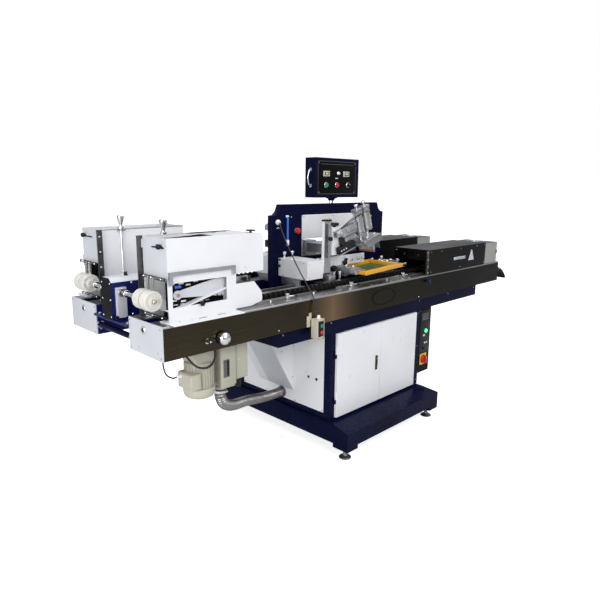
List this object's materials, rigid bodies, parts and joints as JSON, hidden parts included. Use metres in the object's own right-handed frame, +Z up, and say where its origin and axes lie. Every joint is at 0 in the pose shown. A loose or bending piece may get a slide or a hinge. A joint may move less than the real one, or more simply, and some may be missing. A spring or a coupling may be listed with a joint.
{
  "type": "two-lane in-line screen printing machine",
  "caption": "Free-standing in-line screen printer for flat sticks: twin chain lanes with feed magazines, squeegee heads over hinged screens, a gantry, drying tunnels and a cabinet base.",
  "frame": {"origin": "on the floor, midway between the lanes and under the middle of the whole length; the gantry and cabinet are centred at X -0.1035 m", "axes": "+X along the lanes to the outfeed, +Y to the rear lane, +Z up"},
  "size_m": [3.553, 1.255, 1.835],
  "materials": {
    "navy_paint": "satin",
    "blue_paint": "satin",
    "white_paint": "satin",
    "beige_paint": "satin",
    "dark_stainless": "brushed",
    "steel": "brushed",
    "chrome": "polished",
    "aluminium": "satin",
    "chain_steel": "oiled",
    "nylon": "satin",
    "black_plastic": "satin",
    "red_plastic": "gloss",
    "green_plastic": "gloss",
    "yellow_wood": "varnished"
  },
  "bodies": {
    "machine_frame": {"base_plinth": "navy_paint", "foot_front_left": "steel", "foot_front_right": "steel", "foot_rear_left": "steel", "foot_rear_right": "steel", "main_frame": "navy_paint", "left_panel": "white_paint", "waste_chute": "white_paint", "drive_unit": "beige_paint", "electrical_box": "navy_paint", "front_lane_bed": "blue_paint", "front_side_cover": "dark_stainless", "front_chain": "chain_steel", "front_magazine": "white_paint", "front_fan_box": "white_paint", "front_slide_housing": "white_paint", "rear_lane_bed": "blue_paint", "rear_side_cover": "dark_stainless", "rear_chain": "chain_steel", "rear_magazine": "white_paint", "rear_fan_box": "white_paint", "rear_slide_housing": "white_paint", "feed_gearbox": "blue_paint", "tie_bar": "steel", "feed_motor": "beige_paint", "vacuum_blower": "beige_paint", "air_hose": "aluminium", "gantry_plate": "navy_paint", "gantry_panel": "white_paint", "head_rods": "chrome", "pendant_box": "beige_paint"},
    "left_door": {"left_door": "white_paint"},
    "door_latch": {"door_latch": "black_plastic"},
    "right_door": {"right_door": "white_paint"},
    "isolator_knob": {"isolator_knob": "red_plastic"},
    "feed_shaft": {"feed_shaft": "steel", "front_feed_rollers": "nylon", "rear_feed_rollers": "nylon"},
    "handwheel": {"handwheel": "chrome"},
    "lock_lever": {"lock_lever": "black_plastic"},
    "front_height_knob": {"front_height_knob": "chrome"},
    "rear_height_knob": {"rear_height_knob": "chrome"},
    "crosshead": {"crosshead": "white_paint"},
    "front_squeegee_head": {"front_squeegee_head": "aluminium"},
    "rear_squeegee_head": {"rear_squeegee_head": "aluminium"},
    "front_squeegee": {"front_squeegee": "aluminium"},
    "rear_squeegee": {"rear_squeegee": "aluminium"},
    "front_screen": {"front_screen_frame": "yellow_wood"},
    "rear_screen": {"rear_screen_frame": "yellow_wood"},
    "front_dryer_hood": {"front_dryer_hood": "dark_stainless"},
    "rear_dryer_hood": {"rear_dryer_hood": "dark_stainless"},
    "front_fan_rotor": {"front_fan_rotor": "black_plastic"},
    "rear_fan_rotor": {"rear_fan_rotor": "black_plastic"},
    "emergency_button": {"emergency_button": "red_plastic"},
    "console": {"console_box": "navy_paint"},
    "console_start_button": {"console_start_button": "green_plastic"},
    "console_stop_button": {"console_stop_button": "red_plastic"},
    "console_selector": {"console_selector": "black_plastic"},
    "pendant_start_button": {"pendant_start_button": "green_plastic"},
    "pendant_stop_button": {"pendant_stop_button": "red_plastic"}
  },
  "joints": [
    {"name": "left_door_hinge", "type": "hinge", "parent": "machine_frame", "child": "left_door", "pos_m": [-0.5435, -0.4575, 0.495], "axis": [0, 0, -1], "range_deg": [0, 105]},
    {"name": "door_latch_turn", "type": "hinge", "parent": "left_door", "child": "door_latch", "pos_m": [-0.1435, -0.471, 0.498], "axis": [0, -1, 0], "range_deg": [0, 90]},
    {"name": "right_door_hinge", "type": "hinge", "parent": "machine_frame", "child": "right_door", "pos_m": [0.3285, -0.4575, 0.495], "axis": [0, 0, 1], "range_deg": [0, 105]},
    {"name": "isolator_turn", "type": "hinge", "parent": "machine_frame", "child": "isolator_knob", "pos_m": [0.4745, -0.46, 0.38], "axis": [0, 1, 0], "range_deg": [0, 90]},
    {"name": "feed_shaft_turn", "type": "hinge", "parent": "machine_frame", "child": "feed_shaft", "pos_m": [-1.7285, 0, 1.128], "axis": [0, 1, 0], "continuous": true},
    {"name": "handwheel_turn", "type": "hinge", "parent": "machine_frame", "child": "handwheel", "pos_m": [-1.4235, -0.5, 0.921], "axis": [0, 1, 0], "continuous": true},
    {"name": "lock_lever_turn", "type": "hinge", "parent": "machine_frame", "child": "lock_lever", "pos_m": [-1.5095, -0.49, 0.92], "axis": [0, 1, 0], "range_deg": [0, 90]},
    {"name": "front_height_screw", "type": "hinge", "parent": "machine_frame", "child": "front_height_knob", "pos_m": [-1.5655, -0.2145, 1.2], "axis": [0, 0, 1], "continuous": true},
    {"name": "rear_height_screw", "type": "hinge", "parent": "machine_frame", "child": "rear_height_knob", "pos_m": [-1.5655, 0.2145, 1.2], "axis": [0, 0, 1], "continuous": true},
    {"name": "print_stroke", "type": "slide", "parent": "machine_frame", "child": "crosshead", "axis": [1, 0, 0], "range_m": [0, 0.16]},
    {"name": "front_head_tilt", "type": "hinge", "parent": "crosshead", "child": "front_squeegee_head", "pos_m": [-0.3935, -0.32, 1.368], "axis": [0, -1, 0], "range_deg": [-16, 20]},
    {"name": "rear_head_tilt", "type": "hinge", "parent": "crosshead", "child": "rear_squeegee_head", "pos_m": [-0.3935, 0.32, 1.368], "axis": [0, -1, 0], "range_deg": [0, 36]},
    {"name": "front_squeegee_press", "type": "slide", "parent": "front_squeegee_head", "child": "front_squeegee", "axis": [0.2756, 0, -0.9613], "range_m": [0, 0.045]},
    {"name": "rear_squeegee_press", "type": "slide", "parent": "rear_squeegee_head", "child": "rear_squeegee", "axis": [0, 0, -1], "range_m": [0, 0.045]},
    {"name": "front_screen_lift", "type": "hinge", "parent": "machine_frame", "child": "front_screen", "pos_m": [-0.2465, -0.2925, 1.108], "axis": [0, -1, 0], "range_deg": [-2.5, 2]},
    {"name": "rear_screen_lift", "type": "hinge", "parent": "machine_frame", "child": "rear_screen", "pos_m": [-0.2465, 0.2925, 1.108], "axis": [0, -1, 0], "range_deg": [-2.5, 2]},
    {"name": "front_hood_lift", "type": "hinge", "parent": "machine_frame", "child": "front_dryer_hood", "pos_m": [0.8565, -0.1775, 1.031], "axis": [-1, 0, 0], "range_deg": [0, 55]},
    {"name": "rear_hood_lift", "type": "hinge", "parent": "machine_frame", "child": "rear_dryer_hood", "pos_m": [0.8565, 0.1775, 1.031], "axis": [1, 0, 0], "range_deg": [0, 55]},
    {"name": "front_fan_spin", "type": "hinge", "parent": "machine_frame", "child": "front_fan_rotor", "pos_m": [1.3945, -0.3275, 1.177], "axis": [0, 0, 1], "continuous": true},
    {"name": "rear_fan_spin", "type": "hinge", "parent": "machine_frame", "child": "rear_fan_rotor", "pos_m": [1.3945, 0.3275, 1.177], "axis": [0, 0, 1], "continuous": true},
    {"name": "emergency_press", "type": "slide", "parent": "machine_frame", "child": "emergency_button", "axis": [0, 1, 0], "range_m": [0, 0.005]},
    {"name": "console_swivel", "type": "hinge", "parent": "machine_frame", "child": "console", "pos_m": [-0.1035, 0, 1.7], "axis": [0, 0, 1], "range_deg": [-60, 60]},
    {"name": "console_start_press", "type": "slide", "parent": "console", "child": "console_start_button", "axis": [0, 1, 0], "range_m": [0, 0.003]},
    {"name": "console_stop_press", "type": "slide", "parent": "console", "child": "console_stop_button", "axis": [0, 1, 0], "range_m": [0, 0.003]},
    {"name": "console_selector_turn", "type": "hinge", "parent": "console", "child": "console_selector", "pos_m": [0.0005, -0.06, 1.658], "axis": [0, 1, 0], "range_deg": [-45, 45]},
    {"name": "pendant_start_press", "type": "slide", "parent": "machine_frame", "child": "pendant_start_button", "axis": [0, 1, 0], "range_m": [0, 0.003]},
    {"name": "pendant_stop_press", "type": "slide", "parent": "machine_frame", "child": "pendant_stop_button", "axis": [0, 1, 0], "range_m": [0, 0.003]}
  ],
  "couplings": [
    {"joint": "handwheel_turn", "follows": "feed_shaft_turn", "ratio": 1}
  ]
}
